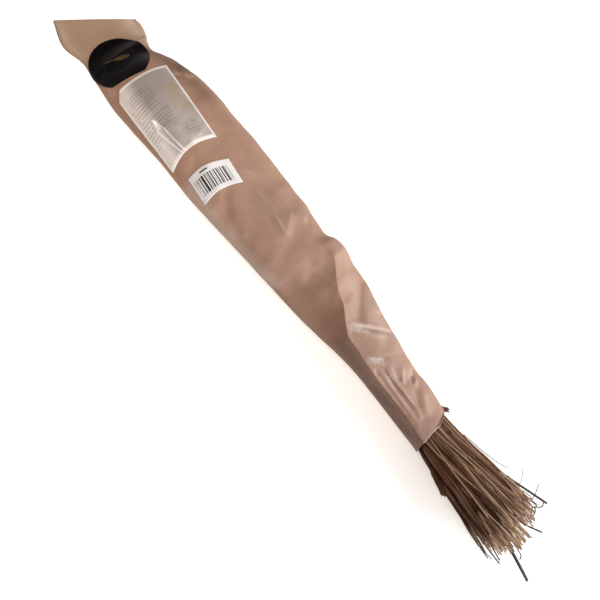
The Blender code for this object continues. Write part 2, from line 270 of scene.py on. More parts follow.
def makeBlackVinyl():
    # Gloss-laminated black sticker film: deep black with a smooth sheen, a faint thin ring and, in foil,
    # a plain ear of grass; their places and sizes are shares of the sticker's own
    material, add, place = newMaterial("gloss black sticker film")
    flat = add("Mapping", {"Vector": add("UVMap", {}), "vector_type": "TEXTURE",
                           "Location": (0.465, 0.525, 0), "Rotation": (0, 0, math.radians(53))})
    along, across = sheetAxes(add, flat)
    radius = add("VectorMath LENGTH", [flat], "Value")
    ring = between(add, radius, 0.268, 0.276, 0.003)
    rise = add("Math MULTIPLY_ADD", [along, -0.16, across])
    off = add("Math ABSOLUTE", [rise])
    stalk = add("Math MULTIPLY", [between(add, off, -0.1, 0.004, 0.002),
                                  between(add, along, -0.22, 0.05, 0.004)])
    # the ear is an oval of slanting grains
    grains = add("Math MULTIPLY_ADD", [off, -1.3, along])
    grains = add("Math MULTIPLY", [grains, 24.0])
    grains = add("Math FRACT", [grains])
    oval = add("CombineXYZ", [add("Math MULTIPLY_ADD", [along, 7.4, -0.55]),
                              add("Math MULTIPLY", [rise, 24.0])])
    oval = add("VectorMath LENGTH", [oval], "Value")
    ear = add("Math MULTIPLY", [between(add, grains, 0, 0.5, 0.08), between(add, oval, -1, 1, 0.05)])
    foil = add("Math MAXIMUM", [stalk, ear])
    colour = add("Mix", {"data_type": "RGBA", 0: ring, 6: "070507", 7: "2a241f"}, 2)
    colour = add("Mix", {"data_type": "RGBA", 0: foil, 6: colour, 7: "a8864e"}, 2)
    worn = add("TexNoise", {"Vector": place, "Scale": perSize(9), "Detail": 3.0})
    rough = add("MapRange", {"Value": worn, "To Min": 0.38, "To Max": 0.5})
    peel = add("Bump", {"Height": worn, "Strength": 0.2, "Distance": 0.2 * mm})
    return setShader(material, {"Base Color": colour, "Roughness": rough, "Metallic": foil,
                                "Normal": peel, "Specular IOR Level": 0.1})


def makeInfoPrint():
    # Gloss-coated label paper printed grey, with a white margin and fine generic rules in place of words
    material, add, place = newMaterial("gloss coated label paper")
    axes = along, across = sheetAxes(add, add("UVMap", {}))
    field = blockOn(add, axes, (0.032, 0.962, 0.028, 0.972), 0.006)
    rows = add("Math MULTIPLY", [along, 27.0])
    stroke = between(add, add("Math FRACT", [rows]), 0.32, 0.62, 0.1)
    words = add("CombineXYZ", [add("Math MULTIPLY", [across, 26.0]), add("Math FLOOR", [rows])])
    words = add("VectorMath FLOOR", [words])
    words = add("TexWhiteNoise", {"noise_dimensions": "2D", "Vector": words})
    ink = add("Math MULTIPLY", [stroke, between(add, words, 0.12, 2.0, 0.03)])
    blocks = 0.0
    for corners in ((0.15, 0.44, 0.14, 0.56), (0.47, 0.66, 0.28, 0.66), (0.30, 0.76, 0.06, 0.24),
                    (0.74, 0.88, 0.62, 0.86)):
        blocks = add("Math MAXIMUM", [blocks, blockOn(add, axes, corners, 0.006)])
    for share in (blocks, 0.5):
        ink = add("Math MULTIPLY", [ink, share])
    mottle = add("TexNoise", {"Vector": place, "Scale": perSize(7), "Detail": 6.0, "Roughness": 0.75})
    gold = add("MapRange", {"Value": mottle, "From Min": 0.42, "From Max": 0.64, "To Max": 0.8})
    gold = add("Math MULTIPLY", [gold, blockOn(add, axes, (0.26, 0.58, 0.70, 0.94), 0.006)])
    # painted light: its left side, which faces the lamps, is painted paler; a painted white highlight runs
    # along the fold
    paintedLightOnLeft = add("MapRange", {"Value": across, "From Min": 0.38, "From Max": 0.2})
    colour = add("Mix", {"data_type": "RGBA", 0: paintedLightOnLeft, 6: "ddd6d1", 7: "f4efec"}, 2)
    fieldTint = add("Mix", {"data_type": "RGBA", 0: paintedLightOnLeft, 6: "a59b96", 7: "ded4ce"}, 2)
    # painted highlight: the fold attribute paints a white glint along the label's fold
    fold = add("Attribute", {"attribute_name": "fold"}, "Fac")
    for share, over in ((field, fieldTint), (ink, "5f5852"), (gold, "a68f66"), (fold, "fbf8f5")):
        colour = add("Mix", {"data_type": "RGBA", 0: share, 6: colour, 7: over}, 2)
    ripple = add("TexNoise", {"Vector": place, "Scale": perSize(12), "Detail": 2.0})
    bump = add("Bump", {"Height": ripple, "Strength": 0.3, "Distance": 0.4 * mm})
    return setShader(material, {"Base Color": colour, "Roughness": 0.32, "Normal": bump})


def makeBarPrint():
    # Thermal label paper: smooth white with a soft sheen, and plain upright bars that encode nothing
    material, add, place = newMaterial("thermal label paper")
    axes = sheetAxes(add, add("UVMap", {}))
    # two waves that drift apart give bars of many widths
    bars = 0.0
    for rate, start in ((88.0, 0.4), (137.0, 1.9)):
        wave = add("Math MULTIPLY_ADD", [axes[1], rate, start])
        wave = add("Math SINE", [wave])
        bars = add("Math ADD", [bars, wave])
    bars = add("Math GREATER_THAN", [bars, -0.1])
    bars = add("Math MULTIPLY", [bars, blockOn(add, axes, (0.25, 0.84, 0.08, 0.90), 0.01)])
    ink = add("Math MAXIMUM", [bars, blockOn(add, axes, (0.10, 0.155, 0.30, 0.5), 0.01)])
    # the print head was weak at both ends
    weak = add("MapRange", {"Value": between(add, axes[1], 0.2, 0.82, 0.03), "To Min": 0.45})
    ink = add("Math MULTIPLY", [ink, weak])
    tooth = add("TexNoise", {"Vector": place, "Scale": perSize(0.8), "Detail": 3.0})
    rough = add("MapRange", {"Value": tooth, "To Min": 0.42, "To Max": 0.55})
    bump = add("Bump", {"Height": tooth, "Strength": 0.2, "Distance": 0.05 * mm})
    colour = add("Mix", {"data_type": "RGBA", 0: ink, 6: "d6d2d0", 7: "1c1d20"}, 2)
    return setShader(material, {"Base Color": colour, "Roughness": rough, "Normal": bump})


def makeClearTape():
    # Matt-faced polypropylene tape: thin film that takes on the paper's tone and pales it a little,
    # unevenly stuck, with edges that hardly show
    material, add, place = newMaterial("clear polypropylene tape")
    air = add("TexNoise", {"Vector": place, "Scale": perSize(6), "Detail": 1.0})
    haze = add("ValToRGB", {"Fac": air, "stops": [(0.35, "bca092"), (0.65, "d2b7aa")]})
    cover = add("MapRange", {"Value": air, "From Min": 0.3, "From Max": 0.7,
                             "To Min": 0.62, "To Max": 0.85})
    along, across = sheetAxes(add, add("UVMap", {}))
    stuck = add("Math MULTIPLY", [between(add, along, 0.14, 0.86, 0.14),
                                  between(add, across, 0.12, 0.8, 0.12)])
    stuck = add("MapRange", {"Value": stuck, "To Min": 0.1})
    cover = add("Math MULTIPLY", [cover, stuck])
    rough = add("MapRange", {"Value": air, "To Min": 0.4, "To Max": 0.5})
    bump = add("Bump", {"Height": air, "Strength": 0.1, "Distance": 0.2 * mm})
    return setShader(material, {"Base Color": haze, "Alpha": cover, "Roughness": rough, "Normal": bump,
                                "IOR": 1.49, "Specular IOR Level": 0.3})


def makeDryStraw(name, stops, roughness, cutTint=0.0):
    # Dried grass: fine lengthwise fibres and stains; each stem's own tone is an attribute, and the bunch
    # fades to olive grey toward its cut ends, which lie about 280 mm from the middle of the whole part
    material, add, place = newMaterial(name)
    # fibres are drawn 0.6 mm wide, coarser than real ones, so that they show
    streak = add("Mapping", {"Vector": place, "Scale": (0.04, 1, 1)})
    fibres = add("TexNoise", {"Vector": streak, "Scale": perSize(0.6), "Detail": 3.0})
    stains = add("TexNoise", {"Vector": place, "Scale": perSize(16), "Detail": 3.0})
    mixed = add("Attribute", {"attribute_name": "tone"}, "Fac")
    for pattern, share in ((stains, 0.26), (fibres, 0.24)):
        mixed = add("Math MULTIPLY_ADD", [pattern, share, mixed])
    mixed = add("Math SUBTRACT", [mixed, 0.25])
    colour = add("ValToRGB", {"Fac": mixed, "stops": stops})
    ends = add("MapRange", {"Value": add("SeparateXYZ", [place]), "From Min": 215 * mm,
                            "From Max": 280 * mm, "To Max": cutTint})
    colour = add("Mix", {"data_type": "RGBA", 0: ends, 6: colour, 7: "6e5b42"}, 2)
    bump = add("Bump", {"Height": fibres, "Strength": 0.5, "Distance": 0.12 * mm})
    return setShader(material, {"Base Color": colour, "Normal": bump, "Roughness": roughness,
                                "Specular IOR Level": 0.15})


def makeMottled(name, size, detail, stops, settings, bumps=()):
    # a finish whose tone follows one cloudy pattern, and whose relief too where it has bumps
    material, add, place = newMaterial(name)
    pattern = add("TexNoise", {"Vector": place, "Scale": perSize(size), "Detail": detail})
    colour = add("ValToRGB", {"Fac": pattern, "stops": stops})
    for strength, depth in bumps:
        normal = add("Bump", {"Height": pattern, "Strength": strength, "Distance": depth * mm})
        settings = {**settings, "Normal": normal}
    return setShader(material, {"Base Color": colour, **settings})


kraftPaper = makeKraftPaper()
dryStraw = makeDryStraw("dried grass stem", [
    (0.0, "2a160d"), (0.25, "573422"), (0.5, "815942"), (0.72, "96745c"), (0.88, "aa8c70"),
    (1.0, "b49b7c")], 0.7, 0.5)
weatheredStraw = makeDryStraw("weathered grass stem", [
    (0.0, "1d1b19"), (0.3, "393632"), (0.55, "655d53"), (0.75, "947a5c"), (1.0, "b39a70")], 0.7)
dryLeaf = makeDryStraw("dried leaf sheath", [
    (0.0, "2b150a"), (0.4, "583420"), (0.7, "83624a"), (1.0, "b39c7e")], 0.6)
# Dried bunny tail heads: soft cream bristles over a straw core, fully matt with a downy sheen
flowerDown = makeMottled("dried flower down", 1.6, 4.0, [(0.3, "b99f74"), (0.5, "d9c7a0"), (0.7, "efe4c8")],
                         {"Roughness": 0.95, "Sheen Weight": 0.5}, [(0.6, 0.5)])
# Natural rubber band: tan latex, dull, with a dusty bloom
naturalRubber = makeMottled("natural rubber", 3, 4.0, [(0.35, "a8703c"), (0.65, "c08a52")],
                            {"Roughness": 0.6, "IOR": 1.52}, [(0.2, 0.1)])
print("materials made")


# Building

def meshFrom(name, bm):
    mesh = bpy.data.meshes.new(name)
    bm.to_mesh(mesh)
    bm.free()
    return mesh


def addObject(name, data):
    added = bpy.data.objects.new(name, data)
    bpy.context.scene.collection.objects.link(added)
    return added


def addCopy(bm, mesh):
    # adds a copy of a mesh and gives its vertices
    first = len(bm.verts)
    bm.from_mesh(mesh)
    bm.verts.ensure_lookup_table()
    return bm.verts[first:]


def unit(vectors):
    return vectors / np.linalg.norm(vectors, axis=1)[:, None]


def finishPiece(name, bm, material, replaced=(), thickness=0.0, attributes=None):
    # from millimetres to the part's own frame in metres, then onto the part
    bmesh.ops.translate(bm, vec=-partOrigin, verts=bm.verts)
    bmesh.ops.scale(bm, vec=(mm, mm, mm), verts=bm.verts)
    mesh = meshFrom(name, bm)
    mesh.shade_smooth()
    mesh.materials.append(material)
    for attribute, values in (attributes or {}).items():
        layer = mesh.attributes.new(attribute, "FLOAT", "POINT")
        layer.data.foreach_set("value", values.astype(np.float32))
    piece = addObject(name, mesh)
    if thickness:
        wall = piece.modifiers.new("wall", "SOLIDIFY")
        wall.thickness = thickness * mm
        wall.offset = -1
    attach(piece, "root")
    if replaced:
        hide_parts(*replaced)
    print(name, "made:", len(mesh.polygons), "faces")


def newGrid(columns, rows):
    # a flat sheet from -1 to 1, with a UV map
    bm = bmesh.new()
    bm.loops.layers.uv.new("UVMap")
    bmesh.ops.create_grid(bm, x_segments=columns, y_segments=rows, size=1, calc_uvs=True)
    return bm


def cutOff(bm, place, outward):
    bmesh.ops.bisect_plane(bm, geom=bm.verts[:] + bm.edges[:] + bm.faces[:], plane_co=place,
                           plane_no=outward, clear_outer=True)


def gridShares(bm):
    # each vertex's place on a flat grid, as shares from 0 to 1
    flat = np.array([vert.co[:2] for vert in bm.verts])
    return (flat[:, 0] + 1) / 2, (flat[:, 1] + 1) / 2


def moveTo(verts, points):
    for vert, point in zip(verts, points):
        vert.co = point


def faceUp(bm):
    # turns an open sheet's normals upward
    bm.normal_update()
    if sum(face.normal.z * face.calc_area() for face in bm.faces) < 0:
        bmesh.ops.reverse_faces(bm, faces=bm.faces)
        bm.normal_update()


# The paper sleeve

paper = {
    "columns": 150,
    "rows": 292,
    "rowShares": (0, 0.26, 0.5, 1),  # rows lie closer together at the tip and below the shoulder
    "rowX": (tipX, 140.0, 300.0, mouthX),
    "topDensity": 0.5,  # how much closer together the columns lie on top
    "thickness": 0.2,
    "overlap": 0.62,  # how far the sheet goes round under its own edge, in radians
    "layerLift": 0.25,  # the outer layer's height
    "edgeCurl": 0.7,  # how far the free edge curls up where it is loose
    "edgePress": 0.3,  # how far it is pressed down elsewhere
    "looseFrom": (408, 422),  # where along the sleeve it comes loose, and where it ends
    "looseTo": (448, 468),
    "bumps": ((1.3, 36), (0.4, 16)),  # height and size of the bumps that the heads make
    "facets": 7,  # layers of crumpled facets, and their height for their size
    "facetHeight": 0.010,
    "mouthFrom": 446,  # where the shape of the mouth's edge begins to act
    # the mouth's edge: how far it stands out at each share from the left side to the right
    "mouthShares": (0.0, 0.17, 0.33, 0.465, 0.685, 0.91, 1.0),
    "mouthShift": (-0.5, -4.9, -3.5, -2.3, 1.0, 3.6, 0.4),
    # the sheet's free edge seen from above; before the first point it lies under the right side
    "edgeX": (325, 348, 366, 376, 406, 417, 432, 455, 482),
    "edgeY": (81, 72, 52.5, 48.5, 42.4, 39.8, 38.7, 38.4, 38.2),
}

# Wide, soft shapes in the paper: height, half width, path seen from above
softFolds = [
    (-1.6, 8, [(80, 67), (98, 70), (112, 73)]),
    (-1.3, 9, [(143, 69), (156, 71), (171, 73)]),
    (0.8, 6, [(157, 62), (178, 67)]),
    (-1, 5, [(254, 72), (260, 71.5), (266, 71)]),
    (-1, 7, [(296, 69), (308, 67)]),
    (0.9, 6, [(274, 24), (296, 29), (314, 38)]),
    (-1.6, 10, [(300, 25), (330, 27), (362, 28)]),
    (-1.5, 5, [(349, 74), (358, 63), (368, 52)]),
    (0.8, 6, [(336, 65), (350, 55)]),
    (-0.6, 4.5, [(222, 37), (227, 31), (237, 26)]),
    (0.5, 4, [(260, 54), (277, 51.5)]),
    (0.5, 4, [(268, 65), (278, 53)]),
    (0.6, 5, [(450, 51), (462, 45)]),
]

# Narrow creases: height, half width, path seen from above
sharpCreases = [
    (0.5, 1.6, [(352, 48.5), (372, 36.5), (405, 31), (427, 29.2), (448, 27.5), (469, 25), (483, 22)]),
    (-1.1, 1.3, [(404, 34), (420, 33.2), (437, 31.6), (452, 31)]),
    (1.2, 1.4, [(412, 36.8), (424, 35.4), (437, 34.2), (453, 32.6), (466, 31.6)]),
    (-1.5, 1.5, [(416, 39.6), (424, 38.4), (431, 37.2), (440, 36.2), (458, 35.6)]),
    (1.1, 1.6, [(421, 42.6), (428, 41), (437, 39.8), (450, 38.4), (462, 37.6)]),
    (-1.4, 1.9, [(416, 47), (423, 44.6), (430, 43)]),
    (1.5, 1.6, [(422, 52), (428, 47), (433, 43.5)]),
    (-1.4, 1.4, [(431, 53.6), (438, 50.3)]),
    (-1.2, 1.3, [(429, 57.2), (435, 54.8)]),
    (1.3, 1.4, [(436, 54.5), (441, 50)]),
    (-1.2, 1.2, [(408, 34.8), (414, 32.4)]),
    (0.8, 2, [(448, 52), (462, 45)]),
    (-0.8, 2, [(444, 46.5), (458, 41), (470, 37)]),
    (-2.1, 1.2, [(370, 46), (381, 53.8), (389, 61), (395, 65), (402, 66)]),
    (1, 1.6, [(374, 45), (386, 53), (396, 60)]),
    (-1.2, 1.3, [(375, 67.5), (381, 70)]),
    (-1.2, 1.4, [(277, 74), (283.5, 69.5)]),
    (0.7, 1.5, [(216, 57.5), (228, 64.5)]),
    (0.5, 1.5, [(236, 56.5), (246, 56)]),
    (0.7, 1.3, [(256.5, 23), (256, 29)]),
    (0.8, 1.6, [(259, 54.5), (278, 51.5)]),
    (0.7, 1.6, [(267, 66), (279, 52.5)]),
    (1.2, 1.6, [(117, 76.5), (127, 75.5)]),
    (-1.4, 1.6, [(111, 74.5), (120, 73)]),
    (1, 1.5, [(122, 79.5), (129, 79)]),
    (-1.8, 1.3, [(82.5, 19), (91.5, 17.5)]),
    (-1.1, 1.5, [(89.5, 23.5), (91.5, 17.5)]),
    (0.5, 1.6, [(6, 22.5), (24, 17.5), (41, 20.5)]),
    (-0.5, 1.5, [(181, 38), (187, 31), (190, 24)]),
    (0.4, 1.4, [(302, 46), (318, 50), (335, 58)]),
]

# Painted light and painted shade on the paper, paler patches above 0 and darker ones below: amount, half
# width, path seen from above
paintedLightPlaces = [
    (-0.5, 8, [(82, 70), (98, 74), (118, 78)]),
    (-0.42, 7, [(112, 77), (134, 77), (150, 78)]),
    (-0.15, 8, [(150, 73), (171, 74)]),
    (-0.2, 5.5, [(349, 74), (358, 63), (367, 53)]),
    (-0.55, 8, [(374, 27), (386, 25), (430, 23), (480, 20)]),
    (-0.28, 7, [(456, 41), (470, 36), (486, 30)]),
    (0.42, 6.5, [(200, 15.5), (240, 15.5), (300, 15)]),
    (0.55, 2.2, [(117, 71), (127, 77.5)]),
    (0.16, 6, [(6, 23), (24, 17), (41, 20)]),
    (0.38, 8, [(44, 74), (50, 72), (64, 68)]),
    (0.2, 8, [(345, 66), (362, 64), (380, 62)]),
    (0.15, 9, [(395, 58), (420, 52)]),
]


def sharesAlong(path):
    # how far along a path each of its points lies, from 0 to 1
    reach = np.concatenate([[0], np.cumsum(np.linalg.norm(np.diff(path, axis=0), axis=1))])
    return reach / reach[-1]


def distanceTo(path, points):
    # plan distance from each point to the path, and how far along the path it lies from 0 to 1
    path = np.array(path, float)
    lengths = np.hypot(*np.diff(path, axis=0).T)
    before = np.concatenate([[0], np.cumsum(lengths)])
    nearest = np.full(len(points), 1e9)
    along = np.zeros(len(points))
    for start, end, length, offset in zip(path[:-1], path[1:], lengths, before):
        t = np.clip((points - start) @ (end - start) / length**2, 0, 1)
        gap = np.hypot(*(points - start - t[:, None] * (end - start)).T)
        closer = gap < nearest
        nearest = np.where(closer, gap, nearest)
        along = np.where(closer, (offset + t * length) / before[-1], along)
    return nearest, along


def paperRelief(points, angle):
    # how far each point of the paper stands out from the plain form, and how sharply it is creased there
    plan = points[:, :2]
    upper = smoothStep(-0.1, 0.45, np.sin(angle))
    relief = np.zeros(len(points))
    folded = np.zeros(len(points))
    for height, halfWidth, path in softFolds:
        gap, _ = distanceTo(path, plan)
        relief += height * np.exp(-(gap / halfWidth) ** 2) * upper
    for height, halfWidth, path in sharpCreases:
        gap, along = distanceTo(path, plan)
        ends = smoothStep(0, 0.25, along) * smoothStep(0, 0.25, 1 - along)
        profile = np.exp(-np.sqrt(gap**2 + 0.09) / halfWidth) * (0.35 + 0.65 * ends) * upper
        relief += height * profile
        folded += abs(height) * profile
    # the heads push the paper out in soft bumps; it lies quieter round the stems
    full = smoothStep(60, 130, points[:, 0]) * (1 - 0.6 * smoothStep(320, 360, points[:, 0]))
    bumps = sum(height * noiseAt(points, size, k) for k, (height, size) in enumerate(paper["bumps"], 1))
    relief += full * (0.25 + 0.75 * upper) * bumps
    # crumpled facets: straight folds that come and go
    for k in range(paper["facets"]):
        turn, size = 1.107 * k + 0.4, 20 + 7 * k
        across = points @ np.array([math.cos(turn), 0.8 * math.sin(turn), 0.6 * math.sin(turn)])
        wave = across / size + 0.7 * noiseAt(points, 60.0, 10 + k) + 0.37 * k
        facet = np.abs(wave - np.floor(wave) - 0.5) * 4 - 1
        here = smoothStep(0.02, 0.25, noiseAt(points, 38.0, 30 + k)) * smoothStep(10, 70, points[:, 0])
        relief += paper["facetHeight"] * size * facet * here * (0.3 + 0.7 * upper)
    return relief, np.clip(folded, 0, 1)


def paperWearAndPaintedLight(points, angle, folded):
    # above 0 where the paper is paler, along its creases and where light is painted on; below 0 where shade
    # is painted on
    upper = smoothStep(-0.1, 0.3, np.sin(angle))
    wear = 0.25 * folded
    for amount, halfWidth, path in paintedLightPlaces:
        gap, _ = distanceTo(path, points[:, :2])
        wear += amount * np.exp(-(gap / halfWidth) ** 2) * upper
    return wear


def paperNormals(x, angle):
    along = sleevePoints(x + 0.5, angle) - sleevePoints(x - 0.5, angle)
    around = sleevePoints(x, angle + 0.02) - sleevePoints(x, angle - 0.02)
    return unit(np.cross(along, around))


def placeOnSleeve(x, angle, lift):
    # points of the creased paper, raised by lift
    points = sleevePoints(x, angle)
    relief, folded = paperRelief(points, angle)
    points = points + paperNormals(x, angle) * (relief + lift)[:, None]
    points[:, 2] = np.maximum(points[:, 2], 0.25)
    return points, folded


def freeEdgeAngle(x):
    _, leftY, _, rightY, _ = sectionAt(x)
    crest = np.interp(x, crestLine[0], crestLine[1])
    share = np.clip((np.interp(x, paper["edgeX"], paper["edgeY"]) - leftY) / (rightY - leftY), 0, 1)
    bent = np.where(share < crest, share / crest, 1 + (share - crest) / (1 - crest))
    return np.arccos(np.clip(1 - bent, -1, 1)) + smoothStep(0, 120, paper["edgeX"][0] - x) * 1.1


def columnAngle(around, first, span):
    # columns run round from the first angle over the span, closer together on top
    density = paper["topDensity"]
    start, end = first.copy(), first + span
    for _ in range(30):
        start = first - density * np.cos(start)
        end = first + span - density * np.cos(end)
    even = start + around * (end - start)
    return even + density * np.cos(even)


def makeSleeve():
    bm = bmesh.new()
    bmesh.ops.create_grid(bm, x_segments=paper["columns"], y_segments=paper["rows"], size=1)
    around, along = gridShares(bm)
    x = np.interp(along, paper["rowShares"], paper["rowX"])
    span = fullTurn + paper["overlap"]
    edge = freeEdgeAngle(x)
    angle = columnAngle(around, edge, span)
    turned = angle - edge
    inner = smoothStep(1.1 * paper["overlap"], 2.6 * paper["overlap"], turned)
    outer = smoothStep(-0.02, 0.25, turned) * (1 - inner)
    loose = smoothStep(*paper["looseFrom"], x) * (1 - smoothStep(*paper["looseTo"], x))
    lift = paper["layerLift"] * outer + paper["edgeCurl"] * loose * np.exp(-turned * 8)
    lift -= paper["edgePress"] * (1 - loose) * np.exp(-turned * 10)
    share = bendToCrest((1 - np.cos(angle)) / 2, np.interp(x, crestLine[0], crestLine[1]))
    onTop = smoothStep(-0.2, 0.2, np.sin(angle))
    shift = np.interp(share, paper["mouthShares"], paper["mouthShift"]) * onTop
    x = x + shift * smoothStep(paper["mouthFrom"], mouthX, x)
    points, folded = placeOnSleeve(x, angle, lift)
    moveTo(bm.verts, points)
    bmesh.ops.reverse_faces(bm, faces=bm.faces)
    bm.normal_update()
    tree = BVHTree.FromBMesh(bm)
    finishPiece("kraft_paper_wrap", bm, kraftPaper, ["paper_sleeve"], paper["thickness"],
                {"wear": paperWearAndPaintedLight(points, angle, folded)})
    return tree


flap = {
    "columns": 56,
    "noseRows": 6,  # rows round the folded end, and on top
    "rows": 34,
    "lift": 0.45,
    "nose": 0.8,  # how far the folded end stands out
    "faded": 0.75,
    "endX": (67.0, 66.5),  # where it ends on its left and right sides
    "outward": (-0.767, 0.6415),  # the way the closed tip points
}


def makeFlap():
    # the sheet's end is folded over the closed tip, and its own edge ends under the round sticker
    bm = bmesh.new()
    rows = flap["noseRows"] + flap["rows"]
    bmesh.ops.create_grid(bm, x_segments=flap["columns"], y_segments=rows, size=1)
    across, along = gridShares(bm)
    nosePart = flap["noseRows"] / rows
    onTop = np.clip((along - nosePart) / (1 - nosePart), 0, 1)
    angle = np.arccos(1 - 2 * across)
    endX = flap["endX"][0] + (flap["endX"][1] - flap["endX"][0]) * across
    points, folded = placeOnSleeve(tipX + (endX - tipX) * onTop, angle, np.full(len(across), flap["lift"]))
    nose = np.clip(1 - along / nosePart, 0, 1) * math.pi
    points[:, 2] -= points[:, 2] / 2 * (1 - np.cos(nose)) * 0.97
    points[:, :2] += np.outer(flap["nose"] * np.sin(nose), flap["outward"])
    moveTo(bm.verts, points)
    faceUp(bm)
    tree = BVHTree.FromBMesh(bm)
    finishPiece("folded_flap", bm, kraftPaper, (), paper["thickness"],
                {"wear": paperWearAndPaintedLight(points, angle, folded), "faded": np.full(len(points), flap["faded"])})
    return tree


paperTrees = [makeSleeve(), makeFlap()]


# What is stuck on the paper

def castDown(tree, x, y):
    # from well above the sleeve, straight down onto the paper
    return tree.ray_cast(Vector((x, y, 200)), Vector((0, 0, -1)))


def topOfPaper(x, y, lift):
    # the place on the paper straight below (x, y), raised along the paper's normal
    hits = [castDown(tree, x, y) for tree in paperTrees]
    place, normal, _, _ = max((hit for hit in hits if hit[0] is not None), key=lambda hit: hit[0].z)
    return place + normal * lift


def stickDown(bm, lift, rounds):
    # the sheet is stiffer than the paper: it is smoothed, and kept off the paper where it dips in
    for _ in range(rounds):
        bmesh.ops.smooth_vert(bm, verts=[vert for vert in bm.verts if not vert.is_boundary], factor=0.5,
                              use_axis_x=True, use_axis_y=True, use_axis_z=True)
        for vert in bm.verts:
            for tree in paperTrees:
                below = castDown(tree, vert.co.x, vert.co.y)[0]
                if below is not None:
                    vert.co.z = max(vert.co.z, below.z + lift)


def makeLabel(label):
    # a sheet between four corners seen from above; its rows are spaced evenly along the curved paper
    bm = newGrid(label["columns"], label["rows"])
    for place, outward in label.get("cuts", ()):
        cutOff(bm, (*place, 0), (*outward, 0))
    first, second, third, fourth = (Vector(corner) for corner in label["corners"])
    steps = 48  # points along each row's line, to space the row evenly
    lines = {}
    for vert in bm.verts:
        u = round((vert.co.x + 1) / 2, 5)
        if u not in lines:
            near, far = first.lerp(fourth, u), second.lerp(third, u)
            bow = label["bow"][0] + (label["bow"][1] - label["bow"][0]) * u
            line = []
            for k in range(steps + 1):
                place = near.lerp(far, k / steps)
                place.x -= bow * math.sin(math.pi * k / steps)
                line.append(topOfPaper(place.x, place.y, label["lift"]))
            lines[u] = np.array(line), sharesAlong(line)
        line, shares = lines[u]
        vert.co = [np.interp((vert.co.y + 1) / 2, shares, line[:, axis]) for axis in range(3)]
    stickDown(bm, label["lift"], label["smoothing"])
    plan = np.array([vert.co[:2] for vert in bm.verts])
    # where the label is folded it is raised, and the fold attribute made here carries a painted white
    # highlight
    folded = np.zeros(len(plan))
    for height, halfWidth, path in label.get("folds", ()):
        gap, _ = distanceTo(path, plan)
        profile = np.clip(1 - gap / halfWidth, 0, 1)
        folded += profile ** 2
        for vert, rise in zip(bm.verts, height * profile):
            vert.co.z += rise
    faceUp(bm)
    finishPiece(label["name"], bm, label["material"], label["replaces"], label["thickness"],
                {"fold": np.clip(folded, 0, 1)})


paperLabel = {"lift": 0.3, "smoothing": 3, "thickness": 0.12}
tapeStrip = {"slot": "clear_tape", "material": makeClearTape(), "bow": (0, 0), "columns": 12, "rows": 24,
             "lift": 0.2, "smoothing": 1, "thickness": 0.06}
labels = [
    {
        **paperLabel, "name": "care_label", "replaces": ["info_label"], "slot": "label_paper",
        "material": makeInfoPrint(), "columns": 100, "rows": 64,
        # its corners seen from above, and how far it bows between them at its left and right edges
        "corners": [(94, 19.5), (104.3, 69), (183.5, 60.2), (180, 15)], "bow": (2.4, 6),
        # a fold in the label: height, half width and path of each of its lines
        "folds": [
            (0.8, 1, [(136.7, 30.3), (147.4, 27.1), (160, 28.6), (178, 32)]),
            (0.7, 0.9, [(136.7, 30.3), (147.7, 32.7), (160, 33), (178, 34)]),
            (0.9, 2.4, [(139, 30.2), (146, 29.8)]),
        ],
        "cuts": [((-1, -0.72), (-0.81, -0.59))],  # its bent corner, cut on the flat grid
    },
    {
        **paperLabel, "name": "price_label", "replaces": ["barcode_label"], "slot": "white_paper",
        "material": makeBarPrint(), "columns": 24, "rows": 36,
        "corners": [(193, 20.6), (202.8, 55.8), (224.5, 52.6), (217.2, 17.4)], "bow": (3.6, 3.6),
    },
    {
        **tapeStrip, "name": "tape_piece_upper", "replaces": ["tape_upper"],
        "corners": [(363.5, 44.5), (382.6, 62.4), (389.6, 54.4), (370, 37)],
    },
    {
        **tapeStrip, "name": "tape_piece_lower", "replaces": ["tape_lower"],
        "corners": [(393, 36.3), (410, 51.4), (415.5, 45.8), (400.2, 31.6)],
    },
]
for label in labels:
    makeLabel(label)

seal = {
    "centre": (70.7, 41.0),
    "halfSize": (28.9, 24.0),  # an oval, as it bends down with the paper on both sides
    "turn": math.radians(35),
    "trim": 20.9,  # its straight edge's distance from the centre
    "trimTurn": math.radians(-18.3),
    "segments": 48,
    "printSize": 53.0,  # the length that its print is measured in
    "smoothing": 8,  # rounds
    "lift": 0.35,
    "thickness": 0.15,
}


def makeSeal():
    bm = newGrid(seal["segments"], seal["segments"])
    for vert in bm.verts:
        x, y = vert.co.x, vert.co.y
        vert.co.x = x * math.sqrt(1 - y * y / 2) * seal["halfSize"][0]
        vert.co.y = y * math.sqrt(1 - x * x / 2) * seal["halfSize"][1]
    bmesh.ops.rotate(bm, verts=bm.verts, cent=(0, 0, 0), matrix=Matrix.Rotation(seal["turn"], 3, "Z"))
    printed = bm.loops.layers.uv["UVMap"]
    for face in bm.faces:
        for loop in face.loops:
            loop[printed].uv = [0.5 + part / seal["printSize"] for part in loop.vert.co[:2]]
    edge = Vector((math.cos(seal["trimTurn"]), math.sin(seal["trimTurn"]), 0))
    cutOff(bm, edge * seal["trim"], edge)
    for vert in bm.verts:
        vert.co = topOfPaper(seal["centre"][0] + vert.co.x, seal["centre"][1] + vert.co.y, seal["lift"])
    stickDown(bm, seal["lift"], seal["smoothing"])
    faceUp(bm)
    finishPiece("seal_sticker", bm, makeBlackVinyl(), ["round_sticker"], seal["thickness"])


makeSeal()


# The stems

